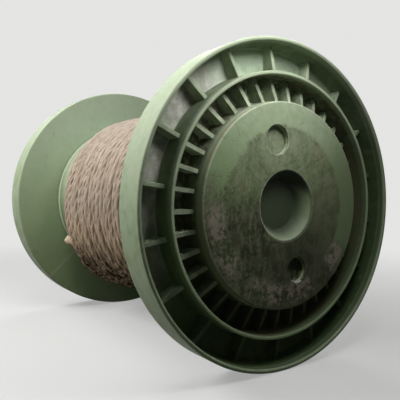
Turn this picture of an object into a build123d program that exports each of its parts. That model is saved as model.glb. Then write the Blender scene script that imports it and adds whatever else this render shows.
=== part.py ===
"""Cord spool: a moulded drum with two ribbed flanges, and one layer of twisted cord wound on it.

The spool lies on its two rims. Its axis runs along X above the floor Z = 0, with the origin under its middle.
"""
import os

from build123d import *

# Flanges: a rim wall and a smaller ring wall stand on a thin web, open outwards
flange_diameter = 160.0
length_over_rims = 191.0
rim_depth = 17.0
web_thickness = 3.3
rim_wall_at_edge = 1.9
rim_wall_at_web = 2.8
rim_edge_chamfer = 0.6
ring_place_share = 0.473  # from the barrel to the rim wall
ring_wall_at_edge = 1.6
ring_wall_at_web = 2.6
ring_drop = 0.8
ring_edge_chamfer = 0.3

# Ribs: their free edges slope down from the inner wall to the outer wall
outer_rib_count = 18
outer_rib_thickness = 2.0
outer_rib_drop_at_ring = 6.0
outer_rib_drop_at_rim = 9.0
inner_rib_count = 36
inner_rib_thickness = 1.9
inner_rib_drop_at_hub = 4.8
inner_rib_drop_at_ring = 9.8

# Barrel and hub: the hub tapers a little and its face stands proud of the rim
barrel_diameter = 102.4
barrel_root_chamfer = 1.2
hub_draft = 1.4
hub_proud = 0.8
hub_edge_chamfer = 0.9

# Centre socket: a blind cone in each hub face
socket_mouth_diameter = 34.6
socket_floor_diameter = 23.6
socket_depth = 7.8

# Drive recesses: a small one, turned this far from straight down, and a larger, shallower one opposite it
recess_circle_diameter = 64.0
recess_turn = 12.6
large_recess_diameter = 14.2
large_recess_depth = 3.0
small_recess_diameter = 12.2
small_recess_depth = 4.2

# Cord: one layer that starts at the front flange, runs out before the rear one, and hangs slack underneath
cord_diameter = 5.6
cord_clearance = 0.1
bare_barrel_length = 18.6
slack = 4.0
cord_end_turn = -59.0
cord_end_length = 6.5
cord_end_lift = 2.6

# Places that follow from the sizes, counted out from the axis and along it from the middle of the spool
flange_radius = flange_diameter / 2
rim_inner_radius_at_edge = flange_radius - rim_wall_at_edge
rim_inner_radius_at_web = flange_radius - rim_wall_at_web
barrel_radius = barrel_diameter / 2
hub_face_radius = barrel_radius - hub_draft
ring_middle_radius = barrel_radius + (rim_inner_radius_at_web - barrel_radius) * ring_place_share
ring_inner_radius_at_edge = ring_middle_radius - ring_wall_at_edge / 2
ring_outer_radius_at_edge = ring_middle_radius + ring_wall_at_edge / 2
ring_inner_radius_at_web = ring_middle_radius - ring_wall_at_web / 2
ring_outer_radius_at_web = ring_middle_radius + ring_wall_at_web / 2
rim_edge = length_over_rims / 2
hub_face = rim_edge + hub_proud
ring_edge = rim_edge - ring_drop
web_inside = rim_edge - rim_depth
web_outside = web_inside + web_thickness

# The axis lies one flange radius above the floor. On the cross plane X points down, and on the section plane
# X points down and Y points along the axis to the front
spool_axis = Axis((0, 0, flange_radius), (1, 0, 0))
cross_plane = Plane(origin=(0, 0, flange_radius), x_dir=(0, 0, -1), z_dir=(1, 0, 0))
section_plane = Plane(origin=(0, 0, flange_radius), x_dir=(0, 0, -1), z_dir=(0, -1, 0))


def rib_between(inner_radius, outer_radius, inner_drop, outer_drop, thickness):
    """One rib about its own Z axis: an upright plate that is rooted in the web and in the walls on both sides."""
    wall_root = thickness / 2
    web_root = web_thickness / 2
    with BuildPart() as rib:
        with BuildSketch(Plane.XZ):
            with BuildLine():
                Polyline(
                    (inner_radius - wall_root, web_outside - web_root),
                    (outer_radius + wall_root, web_outside - web_root),
                    (outer_radius + wall_root, rim_edge - outer_drop),
                    (inner_radius - wall_root, rim_edge - inner_drop),
                    close=True,
                )
            make_face()
        extrude(amount=thickness / 2, both=True)
    return rib.part


outer_rib = rib_between(
    ring_outer_radius_at_edge,
    rim_inner_radius_at_web,
    outer_rib_drop_at_ring,
    outer_rib_drop_at_rim,
    outer_rib_thickness,
)
inner_rib = rib_between(
    hub_face_radius,
    ring_inner_radius_at_web,
    inner_rib_drop_at_hub,
    inner_rib_drop_at_ring,
    inner_rib_thickness,
)

# Moulded spool: the front half is revolved, ribbed and recessed, then mirrored to the rear
with BuildPart() as spool:
    with BuildSketch(section_plane) as half_section:
        with BuildLine():
            Polyline(
                (0, 0),
                (barrel_radius, 0),
                (barrel_radius, web_inside - barrel_root_chamfer),
                (barrel_radius + barrel_root_chamfer, web_inside),
                (flange_radius, web_inside),
                (flange_radius, rim_edge),
                (rim_inner_radius_at_edge, rim_edge),
                (rim_inner_radius_at_web, web_outside),
                (ring_outer_radius_at_web, web_outside),
                (ring_outer_radius_at_edge, ring_edge),
                (ring_inner_radius_at_edge, ring_edge),
                (ring_inner_radius_at_web, web_outside),
                (barrel_radius, web_outside),
                (hub_face_radius, hub_face),
                (socket_mouth_diameter / 2, hub_face),
                (socket_floor_diameter / 2, hub_face - socket_depth),
                (0, hub_face - socket_depth),
                close=True,
            )
        make_face()
        corners = half_section.vertices()
        rim_corners = corners.filter_by_position(Axis.X, rim_inner_radius_at_edge, flange_radius)
        chamfer(rim_corners, rim_edge_chamfer)
        corners = half_section.vertices()
        ring_corners = corners.filter_by_position(Axis.X, ring_inner_radius_at_edge, ring_outer_radius_at_edge)
        chamfer(ring_corners, ring_edge_chamfer)
        corners = half_section.vertices()
        hub_corner = corners.filter_by_position(Axis.X, hub_face_radius, hub_face_radius)
        chamfer(hub_corner, hub_edge_chamfer)
    revolve(axis=spool_axis)
    with Locations(cross_plane):
        with PolarLocations(0, outer_rib_count, start_angle=recess_turn + 180 / outer_rib_count):
            add(outer_rib)
        with PolarLocations(0, inner_rib_count, start_angle=recess_turn):
            add(inner_rib)
    with Locations(cross_plane.offset(hub_face)):
        with PolarLocations(recess_circle_diameter / 2, 1, start_angle=recess_turn):
            Hole(small_recess_diameter / 2, depth=small_recess_depth)
        with PolarLocations(recess_circle_diameter / 2, 1, start_angle=recess_turn + 180):
            Hole(large_recess_diameter / 2, depth=large_recess_depth)
    mirror(about=Plane.YZ)
spool.part.label = "spool"

# Wound cord: a turned sleeve, off centre by half its slack, with the barrel's bore and the loose cord end
winding_rear = bare_barrel_length - web_inside
winding_front = web_inside - barrel_root_chamfer - cord_clearance
winding_bore_radius = barrel_radius + cord_clearance
winding_radius = winding_bore_radius + cord_diameter + slack / 2
cord_end_radius = winding_bore_radius + cord_diameter / 2 + cord_end_lift

with BuildPart() as cord:
    with BuildSketch(cross_plane.offset(winding_rear)):
        with Locations((slack / 2, 0)):
            Circle(winding_radius)
    extrude(amount=winding_front - winding_rear)
    chamfer(cord.edges().filter_by(GeomType.CIRCLE), cord_diameter / 4)
    with BuildSketch(cross_plane.offset(winding_rear - cord_end_length)):
        with PolarLocations(cord_end_radius, 1, start_angle=cord_end_turn):
            Circle(cord_diameter / 2)
    extrude(amount=cord_end_length + cord_diameter)
    with BuildSketch(cross_plane):
        Circle(winding_bore_radius)
    extrude(amount=web_inside, both=True, mode=Mode.SUBTRACT)
cord.part.label = "cord"

os.makedirs("parts", exist_ok=True)
export_step(spool.part, "parts/spool.step")
export_step(cord.part, "parts/cord.step")
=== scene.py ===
"""Looks of the cord spool: a scuffed green moulding with one layer of twisted cord, lying on its rims."""

import math
import random
from functools import partial, reduce

import bmesh
import bpy
import numpy as np
from mathutils import Matrix, Vector


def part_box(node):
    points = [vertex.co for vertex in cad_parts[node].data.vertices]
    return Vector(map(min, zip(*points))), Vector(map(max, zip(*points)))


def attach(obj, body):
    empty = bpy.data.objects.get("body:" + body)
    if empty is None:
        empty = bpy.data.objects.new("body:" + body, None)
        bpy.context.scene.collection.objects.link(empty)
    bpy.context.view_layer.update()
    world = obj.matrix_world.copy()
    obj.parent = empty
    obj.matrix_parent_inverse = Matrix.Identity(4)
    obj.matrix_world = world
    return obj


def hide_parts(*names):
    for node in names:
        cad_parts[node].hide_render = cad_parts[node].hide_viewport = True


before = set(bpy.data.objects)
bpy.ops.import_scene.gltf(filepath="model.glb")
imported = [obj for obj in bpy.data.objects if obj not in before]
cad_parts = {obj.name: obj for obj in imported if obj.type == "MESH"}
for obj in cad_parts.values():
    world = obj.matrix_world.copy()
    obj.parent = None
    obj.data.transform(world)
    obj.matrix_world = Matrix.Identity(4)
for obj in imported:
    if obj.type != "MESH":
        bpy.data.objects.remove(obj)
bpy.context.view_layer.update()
spool_low, spool_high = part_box("spool")

# Moulding, in metres: its walls repeat the part's own sizes
hub_proud = 0.0008
rim_depth = 0.017
ring_drop = 0.0008
web_thickness = 0.0033
rim_wall_at_edge = 0.0019
rim_wall_at_web = 0.0028
ring_place_share = 0.473
ring_half_wall_at_edge = 0.0008
ring_half_wall_at_web = 0.0013
barrel_radius = 0.0512
hub_face_radius = 0.0498
socket_mouth_radius = 0.0173
socket_floor_radius = 0.0118
socket_depth = 0.0078

# Places that follow, from the frame's own reach: out from the axis, and along it from the middle
flange_radius = (spool_high.z - spool_low.z) / 2
axis_height = flange_radius
hub_face = spool_high.x
rim_edge = hub_face - hub_proud
ring_edge = rim_edge - ring_drop
web_inside = rim_edge - rim_depth
web_outside = web_inside + web_thickness
rim_inner_radius_at_edge = flange_radius - rim_wall_at_edge
rim_inner_radius_at_web = flange_radius - rim_wall_at_web
ring_middle_radius = barrel_radius + (rim_inner_radius_at_web - barrel_radius) * ring_place_share
socket_floor = hub_face - socket_depth

# Ribs with sloping free edges, thicker at the root than at the edge
outer_rib_count = 18
outer_rib_thickness = 0.0020
outer_rib_drop_at_ring = 0.0060
outer_rib_drop_at_rim = 0.0090
inner_rib_count = 36
inner_rib_thickness = 0.0019
inner_rib_drop_at_hub = 0.0048
inner_rib_drop_at_ring = 0.0098
rib_root_share = 1.1
rib_edge_share = 0.9

# Drive recesses: the small one is turned this many degrees from straight down towards +Y
recess_turn = 12.6
recess_circle_radius = 0.032
small_recess_radius = 0.0061
small_recess_depth = 0.0042
large_recess_radius = 0.0071
large_recess_depth = 0.003
recess_taper = 0.0003
plug_flare = 1.02

# Rounding of the moulding's edges and corners
turn_steps = 216
recess_steps = 72
corner_steps = 4
rib_corner_steps = 3
rim_round = 0.0009
wall_round = 0.0005
hub_round = 0.0007
bay_fillet = 0.0006
barrel_fillet = 0.0015
rib_round = 0.0003
lip_round = 0.0004
smooth_degrees = 40
same_place = 1e-6

# Rubbed edges, painted pale partly as wear and partly as highlight: what counts as sharp, as facing
# outwards and as clear of the web, and how strongly each is painted
sharp_angle = 0.12
facing_out = 0.7
clear_of_web = 0.002
rib_edge_paint = 1.0
wall_edge_paint = 0.6

# Cord: its strands and lay, its turns, and the slack that hangs underneath, with angles from straight up
cord_radius = 0.0028
cord_clearance = 0.0001
cord_sides = 20
cord_lay = 0.038
strand_count = 5
strand_depth = 0.052
winding_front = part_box("cord")[1].x
winding_rear = -0.0599
points_per_turn = 18
packing = 0.985
slack = 0.0061
slack_at_front = 0.0018
least_sag = 0.35
hanging_angle = 157.0
hanging_reach = 53.0
winding_seed = 7

# Loose turns: how far they stray on top, and how much more they drift, sway and lift underneath
stray_on_top = 0.0003
drift_underneath = 0.0036
sway_underneath = 0.0028
lift_underneath = 0.0018

# Bare end: the ridge over it, then its points, counted to the rear, outwards and round in degrees
end_angle = 122.0
ridge_span = 26.0
ridge_reach = 0.034
ridge_height = 0.0016
bare_end = ((0.0004, 0.0016, 3.0), (0.0020, 0.0026, -0.5), (0.0045, 0.0032, -2.0), (0.0075, 0.0034, -2.5))
frayed_length = 0.006
frayed_swell = 0.30
end_round = 0.6 * cord_radius
least_end_area = 0.02

# Unevenness along the cord: waves of a size, a rate for each metre and a start
thickness_waves = ((0.05, 61, 1.0), (0.05, 173, 2.0))
lay_waves = ((1.4, 17, 1.0), (0.9, 59, 3.0))
depth_waves = ((0.5, 37, 1.0), (0.4, 113, 5.0))

# View of the photograph: a 400 by 400 frame
camera_place = Vector((0.2650, -0.1685, 0.0869))
view_direction = Vector((-0.82074, 0.57097, -0.01965))
image_up = Vector((-0.02393, 0.0, 0.99971))
camera_lens = 44.09
camera_sensor = 36.0

# Tones of the plastic and of the dust and dirt on it, of its paler discs, and of its painted shade, sheen
# and highlights
moulded_greens = ((0.200, 0.285, 0.132), (0.250, 0.335, 0.172))
speck_green = (0.140, 0.205, 0.090)
dust_and_sheen_green = (0.500, 0.555, 0.435)
right_shade_green = (0.070, 0.095, 0.042)
disc_pale_greens = ((0.470, 0.605, 0.330), (0.505, 0.610, 0.445))
rear_rim_shade_green = (0.170, 0.245, 0.110)
corner_highlight = (0.720, 0.760, 0.600)
bay_grime_and_shade = (0.062, 0.092, 0.040)
bay_dust_and_light_tones = ((0.545, 0.660, 0.490), (0.640, 0.640, 0.575))
bay_stain_and_shade = (0.090, 0.078, 0.046)
upper_residues = ((0.092, 0.098, 0.056), (0.180, 0.176, 0.120))
lower_residues_and_shade = ((0.032, 0.034, 0.019), (0.080, 0.080, 0.050))
low_right_shade_tone = (0.040, 0.044, 0.026)
socket_dirt_and_shadow = ((0.022, 0.029, 0.015), (0.005, 0.007, 0.004))
paper_brown = (0.310, 0.265, 0.212)
hub_line_tan = (0.330, 0.300, 0.175)
rubbed_and_highlight_green = (0.470, 0.545, 0.380)
chip_and_highlight_tone = (0.60, 0.64, 0.54)
weld_light = (0.47, 0.50, 0.38)
hair_dark = (0.10, 0.12, 0.07)
score_dark = (0.050, 0.050, 0.032)

# Where dirt and painted shade lie: turns about the axis, in radians from straight up towards -Y, among
# them the side the light falls from, and rings on the hub
lit_turn = 0.7
grey_turn = 1.4
hub_line_turn = 1.2
low_turn = 2.75
right_shade_turn = -2.2
low_right_turn = -2.4
paper_turns = ((1.95, 0.88, 0.97), (3.08, 0.83, 0.93), (-2.23, 0.975, 0.998))
weld_turn = math.radians(133.6)
least_shade = 0.38
most_shade = 0.88
recess_ring = (socket_mouth_radius + 0.004, 0.041)
label_edge = (0.0364, 0.0388)
paper_ring = (0.0378, 0.0472)

# Scratches on the hub: their lean in degrees and a start, and how much they are drawn out
scratch_leans = ((25.0, 0.3), (80.0, 0.7), (140.0, 0.5))
scratch_stretch = 0.15

# Tones of the jute, with painted shade in its grooves and underneath, and painted warm bounce light low
# on its side
fibre_tans = ((0.330, 0.252, 0.182), (0.590, 0.500, 0.402))
slub_tan = (0.375, 0.290, 0.210)
low_side_bounce_tan = (0.780, 0.580, 0.390)
sliver_brown = (0.150, 0.098, 0.060)
groove_dirt_and_shade = (0.105, 0.064, 0.036)
faded_top_tan = (0.370, 0.318, 0.268)
soil_and_shade_brown = (0.040, 0.020, 0.008)
cord_dust = (0.560, 0.490, 0.420)
cut_end_tan = (0.640, 0.570, 0.470)

# Studio: the pale tone that shows, the dim one that lights back, and where the floor fades out
pale = (0.78, 0.78, 0.77)
dim_floor = (0.12, 0.12, 0.115)
floor_radius = 6
floor_steps = 96
fade_start = 0.12
fade_end = 0.55
fade_least = 0.45
world_light = 0.02
lamp_aim = (0, 0, 0.09)

axis_turn = Matrix.Translation((0, 0, axis_height))
axis_back = Matrix.Translation((0, 0, -axis_height))


def only(piece):
    """Makes one object the selected and active one."""
    bpy.ops.object.select_all(action="DESELECT")
    piece.select_set(True)
    bpy.context.view_layer.objects.active = piece


def apply_modifiers(piece):
    """Applies every modifier of a piece in order."""
    only(piece)
    for modifier in list(piece.modifiers):
        bpy.ops.object.modifier_apply(modifier=modifier.name)


def select_where(piece, test, kind="verts"):
    """In edit mode, selects only the vertices, edges or faces that pass a test."""
    bpy.ops.mesh.select_mode(type={"verts": "VERT", "edges": "EDGE", "faces": "FACE"}[kind])
    bpy.ops.mesh.select_all(action="DESELECT")
    shape = bmesh.from_edit_mesh(piece.data)
    for element in getattr(shape, kind):
        element.select_set(test(element))
    shape.select_flush_mode()
    bmesh.update_edit_mesh(piece.data)


def faces_outwards():
    """Turns all faces outwards and leaves edit mode."""
    bpy.ops.mesh.select_all(action="SELECT")
    bpy.ops.mesh.normals_make_consistent(inside=False)
    bpy.ops.object.mode_set(mode="OBJECT")


def around(angle):
    """Turns a rib that stands straight above the axis to an angle from straight down towards +Y."""
    return axis_turn @ Matrix.Rotation(math.radians(angle + 180), 4, "X") @ axis_back


def on_circle(radius, angle):
    """Place across the axis at an angle from straight down towards +Y, as (y, z)."""
    turn = math.radians(angle)
    return radius * math.sin(turn), axis_height - radius * math.cos(turn)


def turned_moulding():
    """The moulding without its ribs: a profile with rounded corners, spun and mirrored to the rear."""
    profile = [
        (0.0, barrel_radius, 0),
        (web_inside, barrel_radius, barrel_fillet),
        (web_inside, flange_radius, rim_round),
        (rim_edge, flange_radius, rim_round),
        (rim_edge, rim_inner_radius_at_edge, rim_round),
        (web_outside, rim_inner_radius_at_web, bay_fillet),
        (web_outside, ring_middle_radius + ring_half_wall_at_web, bay_fillet),
        (ring_edge, ring_middle_radius + ring_half_wall_at_edge, wall_round),
        (ring_edge, ring_middle_radius - ring_half_wall_at_edge, wall_round),
        (web_outside, ring_middle_radius - ring_half_wall_at_web, bay_fillet),
        (web_outside, barrel_radius, bay_fillet),
        (hub_face, hub_face_radius, hub_round),
        (hub_face, socket_mouth_radius, wall_round),
        (socket_floor, socket_floor_radius, wall_round),
        (socket_floor, 0.0, 0),
    ]
    corners = [Vector((x, 0, axis_height + radius)) for x, radius, rounding in profile]
    bpy.ops.object.select_all(action="DESELECT")
    bpy.ops.mesh.primitive_plane_add(size=barrel_radius)
    moulding = bpy.context.object
    moulding.name = "spool_moulding"
    bpy.ops.object.mode_set(mode="EDIT")
    bpy.ops.mesh.merge(type="CENTER")
    bpy.ops.transform.translate(value=corners[0])
    for here, there in zip(corners, corners[1:]):
        bpy.ops.mesh.extrude_vertices_move(TRANSFORM_OT_translate={"value": there - here})
    for rounding in sorted({entry[2] for entry in profile if entry[2]}):
        places = [corner for corner, entry in zip(corners, profile) if entry[2] == rounding]
        select_where(moulding, lambda v: any((v.co - place).length < same_place for place in places))
        bpy.ops.mesh.bevel(
            offset=rounding, offset_type="OFFSET", segments=corner_steps, affect="VERTICES"
        )
    bpy.ops.mesh.select_all(action="SELECT")
    bpy.ops.mesh.spin(steps=turn_steps, angle=math.tau, center=(0, 0, axis_height), axis=(1, 0, 0))
    bpy.ops.mesh.select_all(action="SELECT")
    bpy.ops.mesh.remove_doubles(threshold=same_place)
    bpy.ops.object.mode_set(mode="OBJECT")
    mirror = moulding.modifiers.new("rear_half", "MIRROR")
    mirror.use_axis = (True, False, False)
    mirror.merge_threshold = same_place
    apply_modifiers(moulding)
    bpy.ops.object.mode_set(mode="EDIT")
    faces_outwards()
    return moulding


def recess_plug(radius, depth):
    """The plug that a recess is cut with, standing on the origin: a tapered wall and a rounded lip."""
    profile = [(0.0, radius - recess_taper), (depth - lip_round, radius)]
    for turn in (30, 60, 90):
        lean = math.radians(turn)
        high = depth - lip_round + lip_round * math.sin(lean)
        profile.append((high, radius + lip_round - lip_round * math.cos(lean)))
    profile.append((depth * 2, radius + lip_round * plug_flare))
    bpy.ops.object.select_all(action="DESELECT")
    bpy.ops.mesh.primitive_circle_add(vertices=recess_steps, radius=profile[0][1], fill_type="NGON")
    plug = bpy.context.object
    bpy.ops.object.mode_set(mode="EDIT")
    bpy.ops.mesh.select_all(action="SELECT")
    for (low, inner), (high, outer) in zip(profile, profile[1:]):
        bpy.ops.mesh.extrude_region_move(TRANSFORM_OT_translate={"value": (0, 0, high - low)})
        bpy.ops.transform.resize(value=(outer / inner, outer / inner, 1))
    faces_outwards()
    return plug


def cut_recesses(moulding):
    """Cuts the two drive recesses into each hub face."""
    recesses = [
        (small_recess_radius, small_recess_depth, recess_turn),
        (large_recess_radius, large_recess_depth, recess_turn + 180),
    ]
    for end in (1, -1):
        for radius, depth, angle in recesses:
            plug = recess_plug(radius, depth)
            plug.rotation_euler = (0, end * math.pi / 2, 0)
            plug.location = (end * (hub_face - depth), *on_circle(recess_circle_radius, angle))
            bpy.ops.object.transform_apply(location=True, rotation=True, scale=True)
            cut = moulding.modifiers.new("recess", "BOOLEAN")
            cut.operation = "DIFFERENCE"
            cut.solver = "EXACT"
            cut.object = plug
            apply_modifiers(moulding)
            bpy.data.objects.remove(plug)


def rib_plate(name, inner_radius, outer_radius, inner_drop, outer_drop, thickness):
    """One rib straight above the axis, thinner and rounded at its edge, with its twin at the rear."""
    root = thickness / 2
    depth = rim_edge - inner_drop - web_outside + root
    reach = outer_radius - inner_radius + 2 * root
    bpy.ops.object.select_all(action="DESELECT")
    bpy.ops.mesh.primitive_cube_add(size=1)
    rib = bpy.context.object
    rib.name = name
    bpy.ops.object.mode_set(mode="EDIT")
    bpy.ops.transform.resize(value=(depth, thickness * rib_root_share, reach))
    middle = (web_outside - root + depth / 2, 0, axis_height + (inner_radius + outer_radius) / 2)
    bpy.ops.transform.translate(value=middle)
    select_where(rib, lambda v: v.co.x > middle[0])
    bpy.ops.transform.resize(value=(1, rib_edge_share, 1))
    select_where(rib, lambda v: v.co.x > middle[0] and v.co.z > middle[2])
    bpy.ops.transform.translate(value=(inner_drop - outer_drop, 0, 0))
    select_where(
        rib,
        lambda e: all(v.co.x > middle[0] for v in e.verts) and e.verts[0].co.y * e.verts[1].co.y > 0,
        "edges",
    )
    bpy.ops.mesh.bevel(offset=rib_round, segments=rib_corner_steps, affect="EDGES")
    bpy.ops.object.mode_set(mode="OBJECT")
    twin = rib.modifiers.new("rear_twin", "MIRROR")
    twin.use_axis = (True, False, False)
    apply_modifiers(rib)
    return rib


def set_round(rib, count, first_angle):
    """Copies a rib round the axis and returns all of them."""
    ribs = [rib]
    for place in range(1, count):
        copy = rib.copy()
        copy.data = rib.data.copy()
        bpy.context.scene.collection.objects.link(copy)
        copy.data.transform(around(first_angle + place * 360 / count))
        ribs.append(copy)
    rib.data.transform(around(first_angle))
    return ribs


def mark_edge_wear_and_highlight(piece):
    """Notes in a face attribute the edges that are painted pale, as wear and as highlight: edges of ribs,
    and narrow faces at outside edges.
    """
    shape = bmesh.new()
    shape.from_mesh(piece.data)
    wear_and_highlight = []
    for face in shape.faces:
        middle = face.calc_center_median()
        radius = math.hypot(middle.y, middle.z - axis_height)
        flat_hub = all(abs(abs(v.co.x) - hub_face) < 10 * same_place for v in face.verts)
        sharp = [e for e in face.edges if e.is_manifold and e.calc_face_angle_signed() > sharp_angle]
        narrow = len(sharp) > 1 and not flat_hub
        proud = abs(middle.x) > web_outside + clear_of_web
        in_bay = proud and barrel_radius < radius < rim_inner_radius_at_web
        on_ring = abs(radius - ring_middle_radius) < ring_half_wall_at_web
        outward = abs(face.normal.x) > facing_out
        if in_bay and not on_ring and (narrow or outward):
            wear_and_highlight.append(rib_edge_paint)
        elif narrow or (in_bay and outward):
            wear_and_highlight.append(wall_edge_paint)
        else:
            wear_and_highlight.append(0.0)
    shape.free()
    attribute = piece.data.attributes.new("edge_wear_and_highlight", "FLOAT", "FACE")
    attribute.data.foreach_set("value", wear_and_highlight)


def make_spool():
    """The whole moulding, ribs and recesses joined in one piece that stands for the CAD spool."""
    moulding = turned_moulding()
    cut_recesses(moulding)
    outer_rib = rib_plate(
        "outer_rib",
        ring_middle_radius + ring_half_wall_at_edge,
        rim_inner_radius_at_web,
        outer_rib_drop_at_ring,
        outer_rib_drop_at_rim,
        outer_rib_thickness,
    )
    inner_rib = rib_plate(
        "inner_rib",
        hub_face_radius,
        ring_middle_radius - ring_half_wall_at_web,
        inner_rib_drop_at_hub,
        inner_rib_drop_at_ring,
        inner_rib_thickness,
    )
    ribs = set_round(outer_rib, outer_rib_count, recess_turn + 180 / outer_rib_count)
    ribs += set_round(inner_rib, inner_rib_count, recess_turn)
    only(moulding)
    for rib in ribs:
        rib.select_set(True)
    bpy.ops.object.join()
    mark_edge_wear_and_highlight(moulding)
    bpy.ops.object.shade_smooth_by_angle(angle=math.radians(smooth_degrees))
    even = moulding.modifiers.new("even_shading", "WEIGHTED_NORMAL")
    even.keep_sharp = True
    apply_modifiers(moulding)
    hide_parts("spool")
    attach(moulding, "root")
    return moulding


def smooth_bump(x):
    """1 at 0, falling smoothly to 0 at -1 and 1."""
    return 0.5 + 0.5 * math.cos(math.pi * x) if abs(x) < 1 else 0.0


def wound_place(x, radius, angle):
    """A place on the winding, with the angle in degrees from straight up towards -Y."""
    turn = math.radians(angle)
    return x, -radius * math.sin(turn), axis_height + radius * math.cos(turn)


def draw_route(name, points):
    """A smooth open spline through the pull of its points; returns the points along it."""
    curve = bpy.data.curves.new(name, "CURVE")
    curve.dimensions = "3D"
    curve.resolution_u = 10
    spline = curve.splines.new("NURBS")
    spline.points.add(len(points) - 1)
    for knot, place in zip(spline.points, points):
        knot.co = (*place, 1)
    spline.order_u = 3
    spline.use_endpoint_u = True
    route = bpy.data.objects.new(name, curve)
    bpy.context.scene.collection.objects.link(route)
    bpy.context.view_layer.update()
    drawn = bpy.data.meshes.new_from_object(route)
    line = np.array([v.co for v in drawn.vertices])
    bpy.data.meshes.remove(drawn)
    bpy.data.objects.remove(route)
    bpy.data.curves.remove(curve)
    return line


def winding_points():
    """Control points from the front flange to the bare end: snug turns on top, slack and uneven below."""
    dice = random.Random(winding_seed)
    draws_in = 0.75 + 0.25 * math.cos(math.tau / points_per_turn)
    length = winding_front - winding_rear - 2 * cord_radius
    turns = int(length / (2 * cord_radius * packing))
    pitch = length / turns
    snug = barrel_radius + cord_radius + cord_clearance
    front = winding_front - cord_radius
    rear = winding_rear + cord_radius
    sags = [dice.uniform(least_sag, 1.0) for turn in range(turns + 2)]
    drifts = [dice.uniform(-1, 1) for turn in range(turns + 2)]
    wobble = [(dice.uniform(-1, 1), dice.uniform(0, 1)) for step in range(turns * points_per_turn + 1)]
    points = []
    for step, (sideways, lifted) in enumerate(wobble):
        turn = step / points_per_turn
        angle = (end_angle - turn * 360) % 360
        whole = int(turn)
        part = turn - whole
        sag = sags[whole] * (1 - part) + sags[whole + 1] * part
        drift = drifts[whole] * (1 - part) + drifts[whole + 1] * part
        low = (0.5 - 0.5 * math.cos(math.radians(angle))) ** 2
        x = front - pitch * turn + drift * (stray_on_top + drift_underneath * low)
        x += sideways * (stray_on_top + sway_underneath * low)
        x = max(rear, min(front, x))
        ridge = smooth_bump((angle - end_angle) / ridge_span)
        ridge *= smooth_bump((x - winding_rear) / ridge_reach) ** 0.5
        to_rear = (winding_front - x) / (winding_front - winding_rear)
        hang = slack_at_front + (slack - slack_at_front) * to_rear ** 2
        hang *= 1 - (1 - sag) * (1 - to_rear ** 2)
        hang *= smooth_bump((angle - hanging_angle) / hanging_reach)
        radius = (snug + hang + ridge_height * ridge) / draws_in
        radius += lifted * (stray_on_top + lift_underneath * low)
        points.append(wound_place(x, radius, angle))
    points[-1:] = [wound_place(rear - back, snug + out, end_angle + turn) for back, out, turn in bare_end]
    return points


def ripple(along, waves):
    """A steady unevenness along the cord: the sum of its waves."""
    return sum(size * np.sin(along * rate + start) for size, rate, start in waves)


def twisted_cord(shape, layer, line):
    """Adds a twisted cord to a mesh along a line: a lobed section that turns, with rounded ends."""
    steps = np.linalg.norm(np.diff(line, axis=0), axis=1)
    along = np.concatenate([[0.0], np.cumsum(steps)])
    forward = np.gradient(line, axis=0)
    forward /= np.linalg.norm(forward, axis=1)[:, None]
    outward = line - np.array([0, 0, axis_height])
    outward[:, 0] = 0
    outward -= (outward * forward).sum(1)[:, None] * forward
    outward /= np.linalg.norm(outward, axis=1)[:, None]
    across = np.cross(forward, outward)
    waver = 1 + ripple(along, thickness_waves)
    waver += frayed_swell * np.clip((along - along[-1]) / frayed_length + 1, 0, 1)
    from_end = np.minimum(along, along[-1] - along)
    drawn_in = 1 - np.clip(from_end / end_round, 0, 1)
    rounding = np.sqrt(np.clip(1 - drawn_in ** 2, least_end_area, 1))
    around_section = math.tau * np.arange(cord_sides) / cord_sides
    lobes = np.cos(strand_count * around_section) - 1
    twist = math.tau * along / cord_lay + ripple(along, lay_waves)
    spin = around_section[None, :] + twist[:, None]
    depth = strand_depth * (1 + ripple(along, depth_waves))
    reach = cord_radius * (1 + depth[:, None] * lobes[None, :]) * (waver * rounding)[:, None]
    places = line[:, None, :] + (reach * np.cos(spin))[:, :, None] * outward[:, None, :]
    places = places + (reach * np.sin(spin))[:, :, None] * across[:, None, :]
    rings = [[shape.verts.new(spot) for spot in ring] for ring in places]
    for place in range(len(line) - 1):
        here, there = rings[place], rings[place + 1]
        for side in range(cord_sides):
            after = (side + 1) % cord_sides
            face = shape.faces.new((here[side], here[after], there[after], there[side]))
            face.smooth = True
            spots = ((place, side), (place, side + 1), (place + 1, side + 1), (place + 1, side))
            for loop, (ring, column) in zip(face.loops, spots):
                loop[layer].uv = (along[ring], column / cord_sides)
    shape.faces.new(reversed(rings[0]))
    shape.faces.new(rings[-1])


def make_cord():
    """The wound cord and its bare end, one piece that stands for the CAD cord, and where it ends."""
    shape = bmesh.new()
    layer = shape.loops.layers.uv.new("lay")
    route = draw_route("winding_route", winding_points())
    twisted_cord(shape, layer, route)
    bmesh.ops.recalc_face_normals(shape, faces=shape.faces)
    mesh = bpy.data.meshes.new("jute_winding")
    shape.to_mesh(mesh)
    shape.free()
    cord = bpy.data.objects.new("jute_winding", mesh)
    bpy.context.scene.collection.objects.link(cord)
    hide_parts("cord")
    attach(cord, "root")
    return cord, tuple(route[-1])


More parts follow.
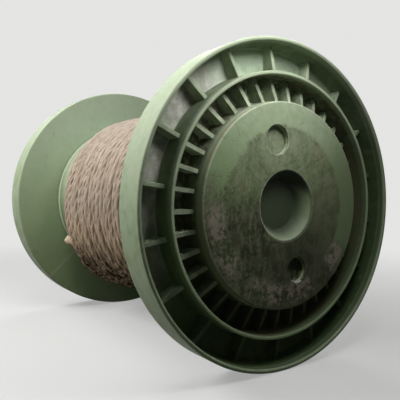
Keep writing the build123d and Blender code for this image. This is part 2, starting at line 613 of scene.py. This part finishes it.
class Nodes:
    """Adds nodes to one node tree, each linked as it is made."""

    def __init__(self, tree):
        self.tree = tree

    def add(self, kind, **settings):
        """A node of a shader kind, with its own settings."""
        made = self.tree.nodes.new("ShaderNode" + kind)
        for name, value in settings.items():
            setattr(made, name, value)
        return made

    def feed(self, socket, value):
        """Links an output to an input, or sets the input's own value."""
        if isinstance(value, bpy.types.NodeSocket):
            self.tree.links.new(value, socket)
        elif socket.type == "RGBA":
            socket.default_value = (*value, 1)
        else:
            socket.default_value = value

    def math(self, operation, *values, clamp=False):
        """One sum of up to three values."""
        made = self.add("Math", operation=operation, use_clamp=clamp)
        for socket, value in zip(made.inputs, values):
            self.feed(socket, value)
        return made.outputs[0]

    def times(self, value, factor, plus=0.0):
        """A value times a factor, plus another value."""
        return self.math("MULTIPLY_ADD", value, factor, plus)

    def ramp(self, value, low, high, first=0.0, last=1.0):
        """A smooth step from the first value to the last between low and high."""
        made = self.add("MapRange", interpolation_type="SMOOTHSTEP")
        labels = ("Value", "From Min", "From Max", "To Min", "To Max")
        for label, entry in zip(labels, (value, low, high, first, last)):
            self.feed(made.inputs[label], entry)
        return made.outputs["Result"]

    def band(self, value, low, high, soft):
        """1 between low and high, with soft ends."""
        rise = self.ramp(value, low - soft, low + soft)
        fall = self.ramp(value, high - soft, high + soft, 1.0, 0.0)
        return self.every(rise, fall)

    def every(self, *masks):
        """The product of several masks."""
        return reduce(partial(self.math, "MULTIPLY"), masks)

    def most(self, *masks):
        """The highest of several masks."""
        return reduce(partial(self.math, "MAXIMUM"), masks)

    def capped(self, mask):
        """A mask that goes no higher than 1."""
        return self.math("MINIMUM", mask, 1.0)

    def outside(self, mask):
        """What a mask leaves out."""
        return self.math("SUBTRACT", 1.0, mask)

    def distance(self, first, second):
        """The distance that two sides at a right angle give."""
        squares = [self.every(side, side) for side in (first, second)]
        return self.math("SQRT", self.math("ADD", *squares))

    def mix(self, share, first, second):
        """One colour going over to another."""
        made = self.add("Mix", data_type="RGBA")
        for place, value in zip((0, 6, 7), (share, first, second)):
            self.feed(made.inputs[place], value)
        return made.outputs[2]

    def shade(self, kind, tone):
        """A plain shader of one tone."""
        made = self.add(kind)
        self.feed(made.inputs["Color"], tone)
        return made

    def mix_shader(self, share, first, second):
        """One shader going over to another."""
        made = self.add("MixShader")
        self.feed(made.inputs["Fac"], share)
        self.feed(made.inputs[1], first.outputs[0])
        self.feed(made.inputs[2], second.outputs[0])
        return made

    def vector(self, x, y, z):
        """A vector of three values."""
        made = self.add("CombineXYZ")
        for socket, value in zip(made.inputs, (x, y, z)):
            self.feed(socket, value)
        return made.outputs[0]

    def split(self, vector):
        """The three values of a vector."""
        made = self.add("SeparateXYZ")
        self.feed(made.inputs[0], vector)
        return list(made.outputs)

    def group(self, tree, **values):
        """A placed node group, fed by the names of its inputs."""
        made = self.add("Group", node_tree=tree)
        for name, value in values.items():
            self.feed(made.inputs[name], value)
        return made.outputs

    def bump(self, height, distance, strength):
        """Relief of a real height in metres."""
        made = self.add("Bump")
        made.inputs["Distance"].default_value = distance
        made.inputs["Strength"].default_value = strength
        self.feed(made.inputs["Height"], height)
        return made.outputs["Normal"]

    def seen_rays(self):
        """1 for rays that show the background itself: from the camera, off a gloss or through glass."""
        rays = self.add("LightPath").outputs
        return self.most(rays["Is Camera Ray"], rays["Is Glossy Ray"], rays["Is Transmission Ray"])


def new_group(name, inputs, outputs):
    """An empty node group with named sockets: its tree, its node builder, its inputs and outputs."""
    tree = bpy.data.node_groups.new(name, "ShaderNodeTree")
    for label, kind in inputs.items():
        tree.interface.new_socket(label, in_out="INPUT", socket_type="NodeSocket" + kind)
    for label in outputs:
        tree.interface.new_socket(label, in_out="OUTPUT", socket_type="NodeSocketFloat")
    start = tree.nodes.new("NodeGroupInput")
    end = tree.nodes.new("NodeGroupOutput")
    return tree, Nodes(tree), start.outputs, end.inputs


def make_mottle():
    """Patches: a mask that rises from low to high of a fractal noise."""
    sockets = {"vector": "Vector", "scale": "Float", "low": "Float", "high": "Float"}
    tree, nodes, start, end = new_group("mottle", sockets, ["mask", "noise"])
    noise = nodes.add("TexNoise")
    noise.inputs["Detail"].default_value = 6.0
    noise.inputs["Roughness"].default_value = 0.62
    nodes.feed(noise.inputs["Vector"], start["vector"])
    nodes.feed(noise.inputs["Scale"], start["scale"])
    nodes.feed(end["mask"], nodes.ramp(noise.outputs["Fac"], start["low"], start["high"]))
    nodes.feed(end["noise"], noise.outputs["Fac"])
    return tree


def make_dust(mottle):
    """Settled dust: a finely broken mask that grows on what faces up and on the object's upper side."""
    tree, nodes, start, end = new_group("settled_dust", {"amount": "Float"}, ["mask"])
    place = nodes.add("TexCoord").outputs
    facing_up = nodes.split(place["Normal"])[2]
    height = nodes.split(place["Object"])[2]
    up = nodes.ramp(facing_up, -0.2, 1.0, 0.0, 0.5)
    high = nodes.ramp(height, axis_height * 0.3, axis_height * 2, 0.0, 0.5)
    broken = nodes.group(mottle, vector=place["Object"], scale=240.0, low=0.2, high=0.8)["mask"]
    share = nodes.every(nodes.math("ADD", up, high), nodes.times(broken, 0.7, 0.55), start["amount"])
    nodes.feed(end["mask"], nodes.capped(share))
    return tree


def make_scratches(mottle):
    """Hair scratches: a mask of thin broken lines, drawn out along the vector's first direction."""
    sockets = {"vector": "Vector", "scale": "Float", "width": "Float"}
    tree, nodes, start, end = new_group("hair_scratches", sockets, ["mask"])
    noise = nodes.add("TexNoise")
    noise.inputs["Detail"].default_value = 2.0
    noise.inputs["Distortion"].default_value = 0.9
    nodes.feed(noise.inputs["Vector"], start["vector"])
    nodes.feed(noise.inputs["Scale"], start["scale"])
    away = nodes.math("ABSOLUTE", nodes.math("SUBTRACT", noise.outputs["Fac"], 0.5))
    line = nodes.math("SUBTRACT", 1.0, nodes.math("DIVIDE", away, start["width"]), clamp=True)
    breaks = nodes.times(start["scale"], 0.7)
    kept = nodes.group(mottle, vector=start["vector"], scale=breaks, low=0.5, high=0.6)["mask"]
    nodes.feed(end["mask"], nodes.every(line, kept))
    return tree


class Finish(Nodes):
    """A node material that is painted layer on layer, over the object's own coordinates."""

    def __init__(self, name, mottle):
        self.material = bpy.data.materials.new(name)
        self.material.use_nodes = True
        super().__init__(self.material.node_tree)
        self.shader = self.tree.nodes["Principled BSDF"]
        self.place = self.add("TexCoord").outputs["Object"]
        self.mottle = mottle

    def patches(self, scale, low, high):
        """A mask of patches."""
        return self.group(self.mottle, vector=self.place, scale=scale, low=low, high=high)["mask"]

    def noise(self, scale):
        """The noise that patches are made from."""
        return self.group(self.mottle, vector=self.place, scale=scale, low=0.0, high=1.0)["noise"]

    def paint(self, mask, tone, amount=None):
        """Lays a tone over the colour where a mask is, by an amount."""
        share = mask if amount is None else self.every(mask, amount)
        self.colour = self.mix(share, self.colour, tone)


class SpoolFinish(Finish):
    """Sage-green moulded plastic: paler above from dust and a painted sheen, dusty in the bays, label
    residue and scuffs on the hub, and painted shade and highlights where the light falls unevenly.
    """

    def __init__(self, mottle, dust, scratches):
        super().__init__("green_plastic", mottle)
        self.x, self.y, self.z = self.split(self.place)
        self.rise = self.math("SUBTRACT", self.z, axis_height)
        self.radius = self.distance(self.y, self.rise)
        self.angle = self.math("ARCTAN2", self.times(self.y, -1.0), self.rise)
        self.along = self.math("ABSOLUTE", self.x)
        self.on_hub = self.ramp(self.along, hub_face - 0.0012, hub_face - 0.0003)
        self.paint_moulding(dust)
        self.paint_discs()
        self.paint_bays()
        self.paint_residue()
        self.paint_socket()
        self.paint_paper()
        self.paint_edges()
        self.paint_scratches(scratches)
        self.set_surface()

    def towards(self, turn, low, high, first=0.0, last=1.0):
        """A smooth step by the cosine between the angle about the axis and a turn."""
        near = self.math("COSINE", self.math("SUBTRACT", self.angle, turn))
        return self.ramp(near, low, high, first, last)

    def paint_moulding(self, dust):
        """The green itself with clouds and specks; paler above from dust and a painted sheen, and painted
        shade low on the hub and on its right and lower side.
        """
        self.colour = self.mix(self.patches(26.0, 0.3, 0.7), *moulded_greens)
        self.specks = self.patches(420.0, 0.3, 0.75)
        self.paint(self.specks, speck_green, 0.25)
        # Painted shade: the lower hub keeps less of the pale, so it reads darker.
        lower_hub_shade = self.every(self.on_hub, self.ramp(self.rise, 0.005, 0.046, 0.85, 0.0))
        # Pale above: partly dust, partly a painted sheen where the light falls.
        dust_and_sheen = self.every(self.group(dust, amount=0.92)["mask"], self.outside(lower_hub_shade))
        self.paint(dust_and_sheen, dust_and_sheen_green)
        # Painted shade on the hub's right and lower side.
        right_shade = self.towards(right_shade_turn, -0.20, 0.70, 0.0, 0.55)
        self.paint(self.every(self.on_hub, right_shade), right_shade_green)

    def paint_discs(self):
        """A paler green on the inner discs that grows towards the top, painted shade on the rear rim
        below its top, and a painted highlight in the corner where the barrel starts.
        """
        on_disc = self.every(
            self.band(self.along, web_inside - 0.0010, web_inside + 0.0006, 0.0003),
            self.ramp(self.radius, barrel_radius + 0.0005, barrel_radius + 0.0030),
        )
        disc_paling = self.ramp(self.rise, -0.075, 0.075, 0.30, 0.95)
        disc_paling = self.every(on_disc, disc_paling, self.times(self.patches(60.0, 0.28, 0.72), 0.25, 0.78))
        disc_pale_tone = self.mix(self.ramp(self.rise, -0.055, 0.060), *disc_pale_greens)
        self.paint(self.capped(disc_paling), disc_pale_tone)
        # Painted shade on the rear rim below its top.
        rear_rim_shade = self.every(
            self.ramp(self.radius, flange_radius - 0.0008, flange_radius - 0.0004),
            self.ramp(self.x, -web_inside, 0.0, 1.0, 0.0),
            self.ramp(self.rise, 0.020, 0.055, 0.52, 0.0),
        )
        self.paint(rear_rim_shade, rear_rim_shade_green)
        # Painted highlight along the rounded corner where the barrel meets the disc.
        corner = self.every(
            self.band(self.along, web_inside - 0.0007, web_inside + 0.0002, 0.0003),
            self.band(self.radius, barrel_radius - 0.0002, barrel_radius + 0.0010, 0.0003),
        )
        self.paint(corner, corner_highlight, 0.90)

    def paint_bays(self):
        """Dark dirt and painted shade on the bays' walls and ribs, darkest away from the lit side and low
        in the inner bays; dust and painted light on their floors, palest on the lit side; and brown
        staining, in the inner bays partly painted shade.
        """
        in_bays = self.every(
            self.band(self.radius, barrel_radius - 0.0010, flange_radius - 0.0008, 0.0005),
            self.band(self.along, web_outside - 0.0005, rim_edge - 0.0035, 0.0015),
        )
        in_inner_bays = self.ramp(self.radius, ring_middle_radius - 0.0010, ring_middle_radius, 1.0, 0.0)
        # Painted shade: walls and ribs darken on the side away from the light, and low in the inner bays,
        # over patches of real dirt.
        self.shaded = self.towards(lit_turn, -0.5, 0.4, most_shade, least_shade)
        inner_bay_shade = self.every(in_inner_bays, self.ramp(self.rise, 0.0, 0.040, 0.32, 0.0))
        grime_and_shade = self.math("ADD", self.shaded, inner_bay_shade)
        grime_and_shade = self.every(in_bays, self.times(self.patches(170.0, 0.25, 0.7), 0.28, grime_and_shade))
        # Painted shade on the inner lips of the rims and ring, away from the light.
        lip_shade = self.every(
            self.band(self.radius, barrel_radius, flange_radius - 0.0012, 0.0003),
            self.band(self.along, rim_edge - 0.0040, rim_edge - 0.0012, 0.0006),
            self.ramp(self.shaded, least_shade, most_shade, 0.0, 0.85),
        )
        self.grime_and_shade = self.capped(self.most(grime_and_shade, lip_shade))
        self.paint(self.grime_and_shade, bay_grime_and_shade)
        bay_floor = self.every(
            self.band(self.along, web_outside - 0.0008, web_outside + 0.0007, 0.0004),
            self.band(self.radius, barrel_radius, rim_inner_radius_at_web, 0.0004),
        )
        # Dust with painted light: the bay floors are palest on the lit side, and the low inner bays keep
        # less of it as painted shade.
        settled_and_lit = self.times(self.patches(75.0, 0.25, 0.6), 0.65, 0.38)
        settled_and_lit = self.every(bay_floor, self.towards(lit_turn, -0.1, 0.85), settled_and_lit)
        inner_bay_low_shade = self.every(in_inner_bays, self.ramp(self.rise, 0.018, 0.045, 0.85, 0.0))
        self.bay_dust_and_light = self.every(self.capped(settled_and_lit), self.outside(inner_bay_low_shade))
        grey_side = self.towards(grey_turn, 0.42, 0.80)
        self.paint(self.bay_dust_and_light, self.mix(grey_side, *bay_dust_and_light_tones))
        # Brown staining; in the inner bays it is laid all round, partly as painted shade.
        inner_stains_and_shade = self.every(self.most(in_bays, bay_floor), in_inner_bays, 0.80)
        outer_stains = self.every(bay_floor, grey_side, 0.30)
        stains_and_shade = self.every(self.most(inner_stains_and_shade, outer_stains), self.patches(260.0, 0.38, 0.56))
        self.paint(stains_and_shade, bay_stain_and_shade)

    def paint_residue(self):
        """The ragged dark disc that a label left on the hub, and the dirt that runs down from it, both
        drawn darker and denser towards the bottom and lower right, partly as painted shade.
        """
        in_recess = self.every(
            self.band(self.along, hub_face - small_recess_depth - 0.0005, hub_face - 0.0020, 0.0005),
            self.band(self.radius, *recess_ring, 0.0005),
        )
        blotch = self.noise(115.0)
        self.torn = self.noise(520.0)
        off_middle = self.math("SUBTRACT", blotch, 0.5)
        ragged = self.ramp(self.math("SINE", self.angle), -0.6, 0.5, 0.0025, 0.0125)
        label_radius = self.times(off_middle, ragged, self.radius)
        label_radius = self.times(self.math("SUBTRACT", self.torn, 0.5), 0.0035, label_radius)
        label = self.ramp(label_radius, *label_edge, 1.0, 0.0)
        # Painted shade: the residue and the dirt below it grow darker and denser towards the bottom.
        lower = self.towards(low_turn, -0.30, 0.70)
        low_dirt_and_shade = self.ramp(self.times(off_middle, 1.2, lower), 0.10, 0.65)
        low_dirt_and_shade = self.every(low_dirt_and_shade, self.ramp(self.torn, 0.38, 0.60, 0.75, 1.00))
        self.soiled_and_shaded = self.most(label, low_dirt_and_shade)
        streaks = self.vector(self.x, self.y, self.times(self.rise, 0.2))
        brushed = self.group(self.mottle, vector=streaks, scale=430.0, low=0.30, high=0.70)["mask"]
        uneven = self.times(brushed, 0.42, self.ramp(lower, 0.5, 1.0, 0.40, 0.52))
        uneven = self.times(self.patches(640.0, 0.30, 0.68), 0.42, uneven)
        residue = self.every(self.most(self.on_hub, in_recess), self.soiled_and_shaded)
        residue = self.every(residue, self.ramp(lower, 0.0, 1.0, 0.66, 0.96), uneven)
        self.residue = self.capped(residue)
        upper_tone = self.mix(self.ramp(blotch, 0.40, 0.60), *upper_residues)
        lower_tone = self.mix(self.ramp(blotch, 0.42, 0.62), *lower_residues_and_shade)
        self.paint(self.residue, self.mix(lower, upper_tone, lower_tone))
        # Painted shade on the lower right of the hub.
        low_right_shade = self.towards(low_right_turn, 0.30, 0.90, 0.0, 0.40)
        self.paint(self.every(self.on_hub, self.soiled_and_shaded, low_right_shade), low_right_shade_tone)

    def paint_socket(self):
        """Dirt and painted shade in the centre socket, thickest on its floor, with a painted shadow,
        nearly black, under its upper side.
        """
        in_socket = self.every(
            self.ramp(self.radius, socket_mouth_radius - 0.0008, socket_mouth_radius + 0.0002, 1.0, 0.0),
            self.ramp(self.along, web_inside, web_outside),
        )
        # Painted shade on the socket floor and a painted shadow under its upper side, over real dirt.
        deep_dirt_and_shade = self.ramp(self.radius, socket_floor_radius, socket_mouth_radius, 0.92, 0.22)
        upper_socket_shadow = self.ramp(self.rise, 0.0, socket_floor_radius, 0.0, 0.97)
        tone = self.mix(self.ramp(self.rise, 0.0, socket_floor_radius), *socket_dirt_and_shadow)
        self.paint(self.every(in_socket, self.most(deep_dirt_and_shade, upper_socket_shadow)), tone)

    def paint_paper(self):
        """Shreds of brown paper near the rim of the hub, in three places."""
        torn_places = self.most(*[self.towards(*entry) for entry in paper_turns])
        paper_zone = self.every(self.on_hub, self.band(self.radius, *paper_ring, 0.0020), torn_places)
        shreds = self.every(self.patches(140.0, 0.43, 0.49), self.patches(420.0, 0.40, 0.53))
        self.paper = self.every(paper_zone, shreds)
        self.paint(self.paper, paper_brown, 0.75)

    def paint_edges(self):
        """The hub's tan line, rubbed edges painted pale as wear and as highlight on the lit side, a
        chipped lower lip of the small recess that is partly a painted highlight, and the rear disc's weld
        line.
        """
        hub_line = self.every(
            self.band(self.along, hub_face - 0.0022, hub_face - 0.0004, 0.0003),
            self.band(self.radius, hub_face_radius - 0.0008, hub_face_radius + 0.0006, 0.0003),
            self.towards(hub_line_turn, 0.0, 0.7),
        )
        self.paint(hub_line, hub_line_tan, 0.75)
        # Rubbed edges, painted pale partly as wear and partly as highlights that fade away from the
        # light.
        wear_and_highlight = self.every(
            self.add("Attribute", attribute_name="edge_wear_and_highlight").outputs["Fac"],
            self.ramp(self.shaded, least_shade, most_shade, 1.0, 0.15),
            self.times(self.patches(160.0, 0.3, 0.62), 0.55, 0.35),
        )
        self.paint(wear_and_highlight, rubbed_and_highlight_green)
        recess_y, recess_z = on_circle(recess_circle_radius, recess_turn)
        recess_side = self.math("SUBTRACT", self.y, recess_y)
        recess_rise = self.math("SUBTRACT", self.z, recess_z)
        from_recess = self.distance(recess_side, recess_rise)
        # A chipped spot on the small recess's lower lip, partly a painted highlight where the lip faces
        # the light.
        chip_and_highlight = self.every(
            self.band(from_recess, small_recess_radius, small_recess_radius + 0.0007, 0.0003),
            self.band(recess_side, -0.0010, 0.0030, 0.0008),
            self.ramp(recess_rise, -0.0045, -0.0030, 1.0, 0.0),
            self.ramp(self.torn, 0.35, 0.55),
            self.on_hub,
        )
        self.paint(chip_and_highlight, chip_and_highlight_tone, 0.8)
        off_line = self.times(self.math("SUBTRACT", self.angle, weld_turn), self.radius)
        weld_line = self.every(
            self.band(off_line, -0.0008, 0.0008, 0.0008),
            self.band(self.x, -web_inside - 0.001, -web_inside + 0.001, 0.0003),
            self.ramp(self.radius, barrel_radius + 0.002, barrel_radius + 0.006),
        )
        self.paint(weld_line, weld_light, 0.58)

    def paint_scratches(self, scratches):
        """Hair scratches all over, and straight ones on the hub that show most in the residue."""
        self.marks = self.group(scratches, vector=self.place, scale=48.0, width=0.006)["mask"]
        self.paint(self.marks, hair_dark, 0.40)
        for degrees, seed in scratch_leans:
            lean = math.radians(degrees)
            drawn_out = self.times(self.rise, math.sin(lean) * scratch_stretch)
            drawn_out = self.times(self.y, math.cos(lean) * scratch_stretch, drawn_out)
            side = self.times(self.y, -math.sin(lean), self.times(self.rise, math.cos(lean)))
            leaning = self.vector(drawn_out, side, seed)
            cuts = self.group(scratches, vector=leaning, scale=430.0, width=0.035)["mask"]
            self.marks = self.most(self.marks, self.every(cuts, self.on_hub))
        scored = self.every(self.marks, self.on_hub, self.times(self.soiled_and_shaded, 0.42, 0.10))
        self.paint(scored, score_dark)

    def set_surface(self):
        """Satin where clean and dull where dirty, with a fine grain, sunk scratches and raised paper."""
        self.feed(self.shader.inputs["Base Color"], self.colour)
        self.shader.inputs["Specular IOR Level"].default_value = 0.10
        rough = self.ramp(self.most(self.residue, self.grime_and_shade, self.bay_dust_and_light), 0.0, 1.0, 0.46, 0.80)
        self.feed(self.shader.inputs["Roughness"], self.times(self.specks, 0.10, rough))
        grain = self.times(self.noise(900.0), 0.35)
        relief = self.math("SUBTRACT", grain, self.times(self.marks, 0.6))
        relief = self.times(self.paper, 0.35, relief)
        self.feed(self.shader.inputs["Normal"], self.bump(relief, 0.00016, 0.7))


class CordFinish(Finish):
    """Dry jute: pale fibres in twisted strands, brown in the grooves from dirt and painted shade, warmer
    low on its side from painted bounce light, and darker underneath from soiling and painted shade.
    """

    def __init__(self, mottle, dust, cord_tip):
        super().__init__("jute_cord", mottle)
        self.length, self.strand = self.split(self.add("UVMap", uv_map="lay").outputs["UV"])[:2]
        turns = self.times(self.length, 1 / cord_lay, self.strand)
        self.around_cord = self.times(turns, math.tau)
        self.height = self.split(self.place)[2]
        self.paint_fibres()
        self.paint_weather(dust, cord_tip)
        self.set_surface()

    def fibre_noise(self, rate, width, low, high):
        """Patches drawn out along the fibres: a rate for each metre of cord, and a width round it."""
        fibre_place = self.vector(
            self.times(self.length, rate),
            self.times(self.math("COSINE", self.around_cord), width),
            self.times(self.math("SINE", self.around_cord), width),
        )
        return self.group(self.mottle, vector=fibre_place, scale=1.0, low=low, high=high)

    def up_to(self, low_share, high_share, first, last):
        """A smooth step by height, in shares of the axis height."""
        return self.ramp(self.height, axis_height * low_share, axis_height * high_share, first, last)

    def paint_fibres(self):
        """Fibres, thicker slubs, dark slivers between them, painted warm bounce light low on the side,
        and the grooves between the strands, darkened by dirt and painted shade.
        """
        self.fibres = self.fibre_noise(95.0, 2.6, 0.3, 0.7)
        self.colour = self.mix(self.fibres["mask"], *fibre_tans)
        self.paint(self.fibre_noise(45.0, 0.0, 0.3, 0.7)["mask"], slub_tan, 0.30)
        # Painted warm bounce light: the cord is paler and warmer low on its side.
        low_side = self.up_to(0.60, 1.02, 1.0, 0.0)
        self.paint(low_side, low_side_bounce_tan, 0.75)
        self.paint(self.fibre_noise(175.0, 7.0, 0.53, 0.63)["mask"], sliver_brown, 0.48)
        # Grooves between the strands: dirt and painted shade, deeper on the low side.
        crown = self.math("COSINE", self.times(self.strand, strand_count * math.tau))
        self.crown = self.times(crown, 0.5, 0.5)
        deep = self.times(low_side, 0.15, 0.60)
        gaps = self.times(self.patches(320.0, 0.44, 0.58), deep, 0.06)
        self.paint(self.every(self.ramp(self.crown, 0.0, 0.28, 1.0, 0.0), gaps), groove_dirt_and_shade)

    def paint_weather(self, dust, cord_tip):
        """The bleached top, soiling and painted shade underneath, a little dust, and the fresh fibres of
        the bare end.
        """
        self.paint(self.up_to(1.15, 1.65, 0.0, 0.50), faded_top_tan)
        # Soiling and painted shade under the winding, darker towards the bottom.
        soil_and_shade = self.times(self.patches(330.0, 0.45, 0.55), 0.86, 0.10)
        self.paint(self.every(self.up_to(0.42, 0.76, 1.0, 0.0), soil_and_shade), soil_and_shade_brown)
        self.paint(self.group(dust, amount=0.08)["mask"], cord_dust)
        from_end = self.add("VectorMath", operation="DISTANCE")
        self.feed(from_end.inputs[0], self.place)
        self.feed(from_end.inputs[1], cord_tip)
        cut_end = self.ramp(from_end.outputs["Value"], cord_radius, cord_radius * 2, 0.75, 0.0)
        self.paint(cut_end, cut_end_tan)

    def set_surface(self):
        """Dry and dull, with the relief of its fibres and strands."""
        self.feed(self.shader.inputs["Base Color"], self.colour)
        self.shader.inputs["Roughness"].default_value = 0.9
        self.shader.inputs["Specular IOR Level"].default_value = 0.1
        relief = self.times(self.fibres["noise"], 0.9, self.times(self.crown, 0.25))
        self.feed(self.shader.inputs["Normal"], self.bump(relief, 0.0005, 0.8))


def set_camera():
    """The photograph's camera, placed by its fitted direction and focal length."""
    data = bpy.data.cameras.new("camera")
    data.lens = camera_lens
    data.sensor_width = camera_sensor
    camera = bpy.data.objects.new("camera", data)
    bpy.context.scene.collection.objects.link(camera)
    back = -view_direction.normalized()
    up = (image_up - image_up.dot(back) * back).normalized()
    turn = Matrix((up.cross(back), up, back)).transposed()
    camera.matrix_world = Matrix.Translation(camera_place) @ turn.to_4x4()
    bpy.context.scene.camera = camera


def area_lamp(name, place, aim, width, watts, spread=180.0):
    """A square soft lamp that points at a place, with its light kept inside an angle in degrees."""
    data = bpy.data.lights.new(name, "AREA")
    data.shape = "SQUARE"
    data.size = width
    data.energy = watts
    data.spread = math.radians(spread)
    lamp = bpy.data.objects.new(name, data)
    bpy.context.scene.collection.objects.link(lamp)
    lamp.location = place
    lamp.rotation_euler = (Vector(aim) - Vector(place)).to_track_quat("-Z", "Y").to_euler()


def set_floor():
    """A pale floor that fades into the background, and lights the object back only dimly."""
    bpy.ops.object.select_all(action="DESELECT")
    bpy.ops.mesh.primitive_circle_add(vertices=floor_steps, radius=floor_radius, fill_type="NGON")
    floor = bpy.context.object
    floor.name = "floor"
    material = bpy.data.materials.new("pale_floor")
    material.use_nodes = True
    material.node_tree.nodes.clear()
    nodes = Nodes(material.node_tree)
    dim = nodes.shade("BsdfDiffuse", dim_floor)
    lit = nodes.shade("BsdfDiffuse", pale)
    glow = nodes.shade("Emission", pale)
    reach = nodes.add("VectorMath", operation="LENGTH")
    nodes.feed(reach.inputs[0], nodes.add("TexCoord").outputs["Object"])
    fade = nodes.ramp(reach.outputs["Value"], fade_start, fade_end, fade_least, 1.0)
    shown = nodes.mix_shader(fade, lit, glow)
    surface = nodes.mix_shader(nodes.seen_rays(), dim, shown)
    nodes.feed(nodes.add("OutputMaterial").inputs["Surface"], surface.outputs[0])
    floor.data.materials.append(material)


def set_background():
    """A background as pale as the floor, which adds almost no light of its own."""
    world = bpy.data.worlds.new("studio")
    world.use_nodes = True
    world.node_tree.nodes.clear()
    nodes = Nodes(world.node_tree)
    soft = nodes.shade("Background", (1.0, 1.0, 1.0))
    nodes.feed(soft.inputs["Strength"], world_light)
    shown = nodes.shade("Background", pale)
    surface = nodes.mix_shader(nodes.seen_rays(), soft, shown)
    nodes.feed(nodes.add("OutputWorld").inputs["Surface"], surface.outputs[0])
    bpy.context.scene.world = world


spool = make_spool()
cord, cord_tip = make_cord()
mottle = make_mottle()
dust = make_dust(mottle)
scratches = make_scratches(mottle)
spool.data.materials.append(SpoolFinish(mottle, dust, scratches).material)
cord.data.materials.append(CordFinish(mottle, dust, cord_tip).material)

set_floor()
set_background()
area_lamp("key_lamp", (-0.09, -0.30, 0.31), lamp_aim, 0.16, 1.24)
area_lamp("top_lamp", (0.062, -0.12, 0.31), lamp_aim, 0.14, 0.34)
area_lamp("front_lamp", (0.160, -0.016, 0.192), (0.096, -0.012, 0.115), 0.05, 0.051, 110.0)
area_lamp("back_lamp", (-0.40, 0.40, 0.42), lamp_aim, 0.30, 1.6)
set_camera()
bpy.context.scene.view_settings.view_transform = "Standard"
